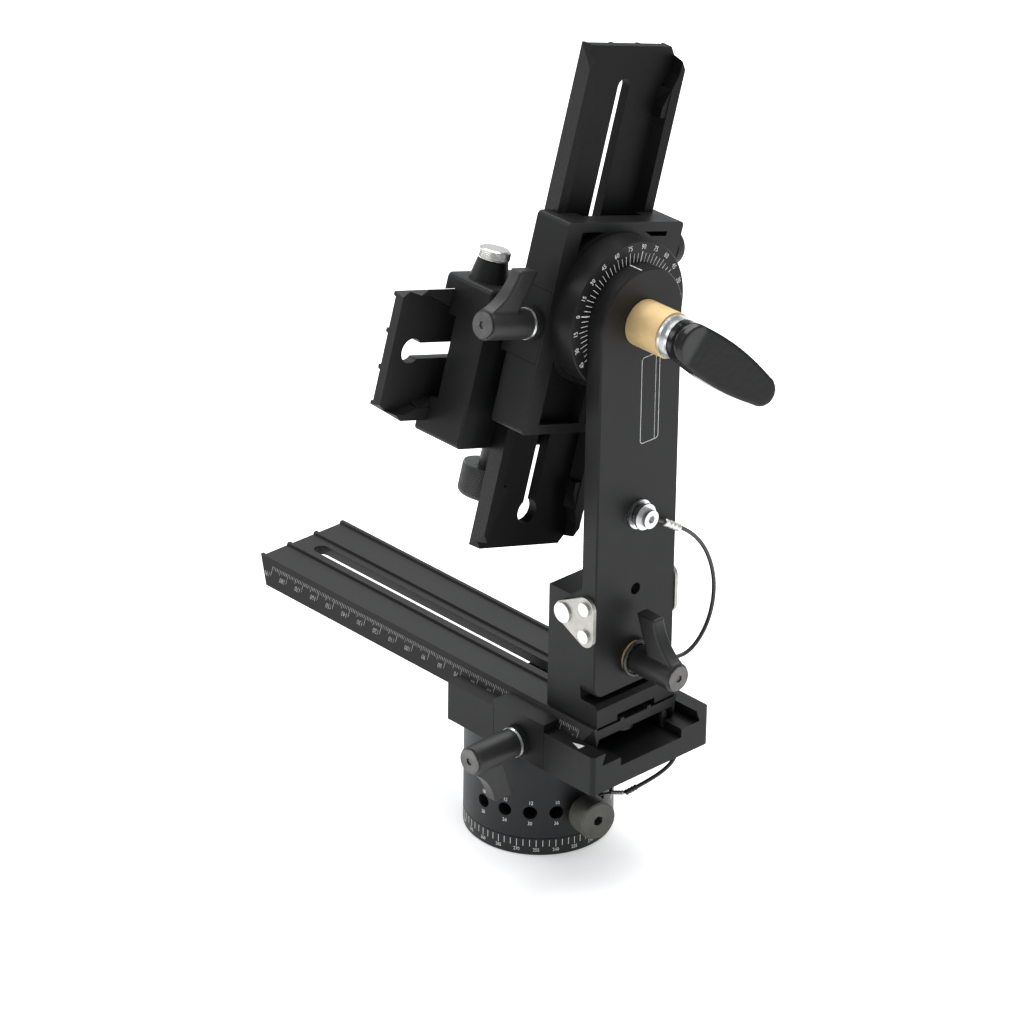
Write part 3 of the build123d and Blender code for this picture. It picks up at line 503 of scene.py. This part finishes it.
# ---------------------------------------------------------------- index plunger
# A turned steel knob, dark olive, with a fine diamond knurl round its rim and a hexagon socket in
# its face. It screws into the index hole in use.
def knurl(name, place, radius, length, pitch, depth, body, finish, across=4):
    """A ring of diamond points round a knob, from its place along z, with chamfered ends."""
    columns = round(2 * pi * radius / pitch) * across
    rows = max(6, round(length / pitch * across))
    shape = bmesh.new()
    rings = []
    inside, skin = radius - 0.7, radius + 0.03
    for row in range(rows + 1):
        height = length * row / rows
        ends = min(1.0, min(row, rows - row) / 2)
        loop = []
        for column in range(columns):
            one = column / across + height / pitch
            other = column / across - height / pitch
            peak = min(abs(one - round(one)), abs(other - round(other))) * 2
            reach = (skin + depth * ends * peak) * MM
            angle = 2 * pi * column / columns
            spot = Vector((reach * cos(angle), reach * sin(angle), height * MM))
            loop.append(shape.verts.new(place @ spot))
        rings.append(loop)
    for height in (length, 0.0):
        rings.append([shape.verts.new(spot) for spot in circle(place, inside, height, columns)])
    rings.append(rings[0])
    for below, above in zip(rings, rings[1:]):
        walled(shape, below, above)
    piece(name, meshed(shape, name), body, finish, smooth=False)


def on_axis(joint, along, back=False):
    """A place on a joint's axis, so far along it in millimetres; back turns it round."""
    axis = Vector(joints[joint]["axis"]).normalized() * (-1 if back else 1)
    side = (0, 0, 1) if abs(axis.z) < 0.9 else (1, 0, 0)
    return facing(Vector(joints[joint]["pos_m"]) / MM + axis * along, axis, side)


olive = Finish("olive_steel", "knurled_dark", (0.07, 0.07, 0.062), Metallic=0.75, Roughness=0.4)
olive.feed(Roughness=olive.noise(300, 3) * 0.22 + 0.30)
olive.feed(Base_Color=olive.blend(olive.noise(160, 3), (0.055, 0.056, 0.048), (0.105, 0.105, 0.092)))
olive.grain(olive.noise(2200, 2), 0.000015)
olive.coat("index_plunger")
plunger_radius, plunger_start, plunger_length = 8.3, -9.25, 8.7
plunger_place = on_axis("index_screw", plunger_start)
knurl(
    "plunger_knurl", plunger_place, plunger_radius, plunger_length, 0.95, 0.24, "index_plunger", olive, 3
)

# ---------------------------------------------------------------- slide holders
# Three black coated castings that the dovetail plates run in, each with a loose clamp jaw on one
# side and a stop catch on the other. The lower one carries a white pointer for the plate's scale.
cast = Finish("cast_black", "cast_black", (0.008, 0.008, 0.0086), Roughness=0.46, Specular_IOR_Level=0.19)
cast_cloud = cast.noise(75, 4, 0.55)
cast.feed(Roughness=cast_cloud * 0.20 + 0.34)
cast.feed(Base_Color=cast.blend(cast_cloud, (0.006, 0.0061, 0.0066), (0.0112, 0.0112, 0.012)))
cast.grain(cast.noise(1500, 3, 0.6), 0.00003)

cast.coat("lower_holder", "upper_holder", "camera_holder", "camera_holder_spacer")
cast.coat("lower_clamp_jaw", "upper_clamp_jaw", "camera_clamp_jaw")
dark_steel.coat("camera_holder_bolts")

wall_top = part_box("lower_holder")[1].z / MM
print_lift = 0.02
pointer_tip_x, pointer_y, pointer_length, pointer_half = 50.6, -29.9, 5.3, 1.7
pointer = Print()
pointer.polygon([
    (pointer_tip_x, pointer_y),
    (pointer_tip_x + pointer_length, pointer_y - pointer_half),
    (pointer_tip_x + pointer_length, pointer_y + pointer_half),
])
pointer_place = facing((0, 0, wall_top + print_lift), (0, 0, 1), (1, 0, 0))
pointer.lay("lower_slide_pointer", "pan", white, on(pointer_place))

# ---------------------------------------------------------------- dovetail plates
# Extruded aluminium, anodised black, one section for all three, the upper one the deepest black.
# The lower one has a millimetre scale engraved and filled grey along one flank.
plate = Finish(
    "anodised_plate", "anodised_black", (0.013, 0.013, 0.0127), Roughness=0.45, Specular_IOR_Level=0.24
)
plate_cloud = plate.noise(45, 3, 0.5)
plate_streak = plate.noise(1400, 2, 0.5, plate.stretch(0.02, 1, 1))
plate.feed(Roughness=plate_cloud * 0.12 + plate_streak * 0.14 + 0.34)
plate.feed(Base_Color=plate.blend(plate_cloud, (0.010, 0.010, 0.0097), (0.017, 0.017, 0.0163)))
plate.grain(plate_streak + plate.noise(2600, 2) * 0.6, 0.000014)
plate.coat("lower_plate", "camera_plate")

deep_plate = Finish(
    "anodised_plate_deep", "anodised_black", (0.006, 0.006, 0.006), Roughness=0.5, Specular_IOR_Level=0.1
)
deep_streak = deep_plate.noise(1400, 2, 0.5, deep_plate.stretch(0.02, 1, 1))
deep_plate.feed(Roughness=deep_streak * 0.16 + 0.42)
deep_plate.feed(
    Base_Color=deep_plate.blend(deep_plate.noise(45, 3), (0.0045, 0.0045, 0.0045), (0.0075, 0.0075, 0.0074))
)
deep_plate.grain(deep_streak, 0.000014)
deep_plate.coat("upper_plate")

rim_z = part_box("lower_plate")[0].z / MM
ridge_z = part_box("lower_plate")[1].z / MM
rim_half, ridge_half = 27.6, 23.6
flank_up = Vector((0, rim_half - ridge_half, ridge_z - rim_z)).normalized()
flank_out = Vector((1, 0, 0)).cross(flank_up)
scale_zero_x = 48.7
ridge_line = Vector((scale_zero_x, -ridge_half, ridge_z))
flank = facing(ridge_line + flank_out * print_lift, flank_out, (1, 0, 0))
scale_length, tick_top, hair_width = 190, -2.6, 0.22
plate_print = Print()
for mark in range(scale_length + 1):
    height = 4.4 if mark % 10 == 0 else 2.3 if mark % 5 == 0 else 1.5
    plate_print.bar(-mark, tick_top - height / 2, hair_width, height)
    if mark % 10 == 0:
        plate_print.number(mark, -mark - 2.5, tick_top - 4.0, 2.1, pi)
plate_print.lay("lower_plate_scale", "lower_slide", grey_print, on(flank))

# ---------------------------------------------------------------- wing knobs
# Moulded black knobs on steel screws, one wing each, softly rounded all over, those of the two
# long slides with a bright metal collar at the root. The socket screw in the end is dark steel.
moulded = Finish(
    "moulded_black", "knob_plastic", (0.011, 0.011, 0.011), Roughness=0.5, Specular_IOR_Level=0.42
)
moulded.feed(Roughness=moulded.noise(140, 3) * 0.2 + 0.34)
moulded.feed(
    Base_Color=moulded.blend(moulded.noise(100, 2), (0.009, 0.009, 0.009), (0.016, 0.016, 0.0155))
)
moulded.grain(moulded.noise(1900, 2), 0.00003)


def softened(node, body, finish, voxel, rounds):
    """A copy of a CAD node remeshed finely and smoothed, so that its edges are moulded round."""
    mesh = nodes[node].data.copy()
    made = piece(node + "_moulding", mesh, body, finish, stands_for=(node,))
    remesh = made.modifiers.new("remesh", "REMESH")
    remesh.mode, remesh.voxel_size = "VOXEL", voxel * MM
    smooth = made.modifiers.new("smooth", "SMOOTH")
    smooth.factor, smooth.iterations = 0.5, rounds
    view = bpy.context.evaluated_depsgraph_get()
    shaped = bpy.data.meshes.new_from_object(made.evaluated_get(view))
    made.modifiers.clear()
    made.data = shaped
    for face in shaped.polygons:
        face.use_smooth = True


knob_voxel, knob_rounds = 0.4, 14
collar_profile = [(5.0, 0.2), (6.3, 0.2), (6.5, 0.5), (6.35, 1.5), (5.0, 1.5), (5.0, 0.2)]
for slide in ("lower", "upper"):
    knob = slide + "_clamp_knob"
    softened(knob, knob, moulded, knob_voxel, knob_rounds)
    collar = turned(collar_profile, on_axis(slide + "_clamp_turn", 0.0))
    piece(knob + "_collar", collar, knob, zinc)
softened("arm_lock_knob", "arm_lock", moulded, knob_voxel, knob_rounds)
dark_steel.coat("lower_knob_screw", "upper_knob_screw", "lock_knob_screw")

# ---------------------------------------------------------------- bracket, hinge and arm
# The bracket is bolted to the lower plate. The arm, a flat black bar with a round head, folds on
# two pressed steel hinge plates and is locked upright by its wing knob.
cast.coat("arm_bracket", "arm")
dark_steel.coat("bracket_screws")
pressed = Finish("pressed_steel", "hinge_steel", (0.38, 0.37, 0.34), Metallic=0.9, Roughness=0.38)
pressed.feed(Roughness=pressed.noise(260, 4) * 0.3 + 0.24)
pressed.feed(Base_Color=pressed.blend(pressed.noise(340, 3), (0.31, 0.30, 0.27), (0.47, 0.46, 0.43)))
pressed.grain(pressed.noise(1800, 3), 0.00002)
pressed.coat("near_hinge_plate", "far_hinge_plate")
zinc.coat("hinge_pins", "hinge_screws")

arm_front_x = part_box("arm")[1].x / MM
arm_face = on(facing((arm_front_x + print_lift, 0, 0), (1, 0, 0), (0, 1, 0)))
frame_middle_y, frame_middle_z, frame_half_width, frame_half_height = 5.35, 215.0, 4.95, 19.0
frame_corner, divider_y, divider_width = 1.2, 8.2, 0.16
label_frame = Print()
for side in (-1, 1):
    x = frame_middle_y + side * frame_half_width
    label_frame.bar(x, frame_middle_z, hair_width, 2 * (frame_half_height - frame_corner))
for side in (-1, 1):
    y = frame_middle_z + side * frame_half_height
    label_frame.bar(frame_middle_y, y, 2 * (frame_half_width - frame_corner), hair_width)
for across, up_down in ((-1, -1), (1, -1), (-1, 1), (1, 1)):
    x = frame_middle_y + across * (frame_half_width - 0.4 * frame_corner)
    y = frame_middle_z + up_down * (frame_half_height - 0.4 * frame_corner)
    label_frame.bar(x, y, 1.35 * frame_corner, hair_width, radians(-45 * across * up_down))
label_frame.bar(divider_y, frame_middle_z, divider_width, 2 * frame_half_height)
label_frame.lay("arm_label_frame", "arm", white, arm_face)

arm_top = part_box("arm")[1].z / MM
arm_back_x, index_line_y, index_line_width, index_line_short = 46.5, -0.5, 0.5, 1.2
arm_index = Print()
arm_index.bar(
    (arm_front_x + arm_back_x) / 2,
    index_line_y,
    arm_front_x - arm_back_x - index_line_short,
    index_line_width,
)
arm_index.lay("tilt_index_line", "arm", white, on(facing((0, 0, arm_top), (0, 0, 1), (1, 0, 0))))

# ---------------------------------------------------------------- tilt joint
# The graduated disc turns with the upper holder behind the arm. A brass bush and a plated collar
# carry the clamp lever, a glossy black moulded paddle that slants out and down.
cast.coat("tilt_disc")
dark_steel.coat("tilt_spindle")
brass = Finish("matt_brass", "brass", (0.72, 0.52, 0.26), Metallic=0.5, Roughness=0.55)
brass.feed(Roughness=brass.noise(420, 4, 0.6) * 0.25 + 0.42)
brass.feed(Base_Color=brass.blend(brass.noise(260, 4, 0.6), (0.60, 0.43, 0.20), (0.84, 0.62, 0.32)))
brass.grain(brass.noise(1600, 3), 0.00002)
brass.coat("brass_bush", "lock_washer")
zinc.coat("lever_stud")

tilt_rest = radians(16)
tilt_z = joints["tilt"]["pos_m"][2] / MM
disc_face_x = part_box("tilt_disc")[1].x / MM
tick_inner, number_reach, number_height = 22.0, 28.5, 2.2
disc_print = Print()
for mark in range(0, 360, 5):
    angle = radians(mark)
    labelled = mark % 15 == 0
    tick_outer = 26.7 if labelled else 26.0
    middle = (tick_inner + tick_outer) / 2
    width = 0.5 if mark % 90 == 0 else 0.26
    disc_print.bar(middle * cos(angle), middle * sin(angle), tick_outer - tick_inner, width, angle)
    if labelled:
        label = min(mark % 180, 180 - mark % 180)
        x, y = number_reach * cos(angle), number_reach * sin(angle)
        disc_print.number(label, x, y, number_height, angle - pi / 2)
disc_across = (0, cos(tilt_rest), -sin(tilt_rest))
disc_place = facing((disc_face_x + print_lift, 0, tilt_z), (1, 0, 0), disc_across)
disc_print.lay("tilt_degree_scale", "tilt", white, on(disc_place))

glossy = Finish(
    "glossy_black", "lever_plastic", (0.006, 0.006, 0.006), Roughness=0.2, Specular_IOR_Level=0.34
)
glossy.feed(Roughness=glossy.noise(90, 3) * 0.16 + 0.14)
glossy.feed(
    Base_Color=glossy.blend(glossy.noise(60, 2), (0.006, 0.006, 0.006), (0.011, 0.011, 0.011))
)
glossy.grain(glossy.noise(420, 2), 0.00004)
lever_voxel, lever_rounds = 0.5, 12
softened("tilt_lever", "tilt_lever", glossy, lever_voxel, lever_rounds)

# ---------------------------------------------------------------- catches and camera clamp
# Small round knobs with knurled rims turn the stop catches. The camera slide has a bright knurled
# cap on a black cone, and a knurled steel cylinder in place of a wing.
bright = Finish("bright_knurled", "knurled_silver", (0.72, 0.72, 0.70), Metallic=1.0, Roughness=0.3)
bright.feed(Roughness=bright.noise(500, 3) * 0.25 + 0.2)
bright.feed(Base_Color=bright.blend(bright.noise(300, 3), (0.60, 0.60, 0.58), (0.82, 0.82, 0.80)))
bright.coat("camera_stop_catch")
moulded.coat("lower_stop_catch", "upper_stop_catch")
for slide in ("lower", "upper"):
    catch = slide + "_stop_catch"
    catch_place = on_axis(slide + "_catch_turn", 3.9, back=True)
    knurl(slide + "_catch_knurl", catch_place, 7.0, 3.4, 1.0, 0.25, catch, moulded, 3)
cap_start = 12.15
cap_place = on_axis("camera_catch_turn", cap_start, back=True)
knurl("camera_catch_knurl", cap_place, 6.35, 3.6, 0.95, 0.28, "camera_stop_catch", bright)

camera_knob = Finish("knurled_black", "knurled_dark", (0.03, 0.03, 0.03), Metallic=0.5, Roughness=0.4)
camera_knob.feed(Roughness=camera_knob.noise(400, 3) * 0.2 + 0.3)
camera_knob.feed(
    Base_Color=camera_knob.blend(camera_knob.noise(200, 3), (0.018, 0.018, 0.018), (0.045, 0.045, 0.044))
)
camera_knob.coat("camera_clamp_knob")
clamp_knob_start, clamp_knob_radius, clamp_knob_length = 11.6, 12.0, 11.6
knurl(
    "camera_clamp_knurl",
    on_axis("camera_clamp_turn", clamp_knob_start),
    clamp_knob_radius,
    clamp_knob_length,
    1.3,
    0.35,
    "camera_clamp_knob",
    camera_knob,
)
zinc.coat("camera_screw")
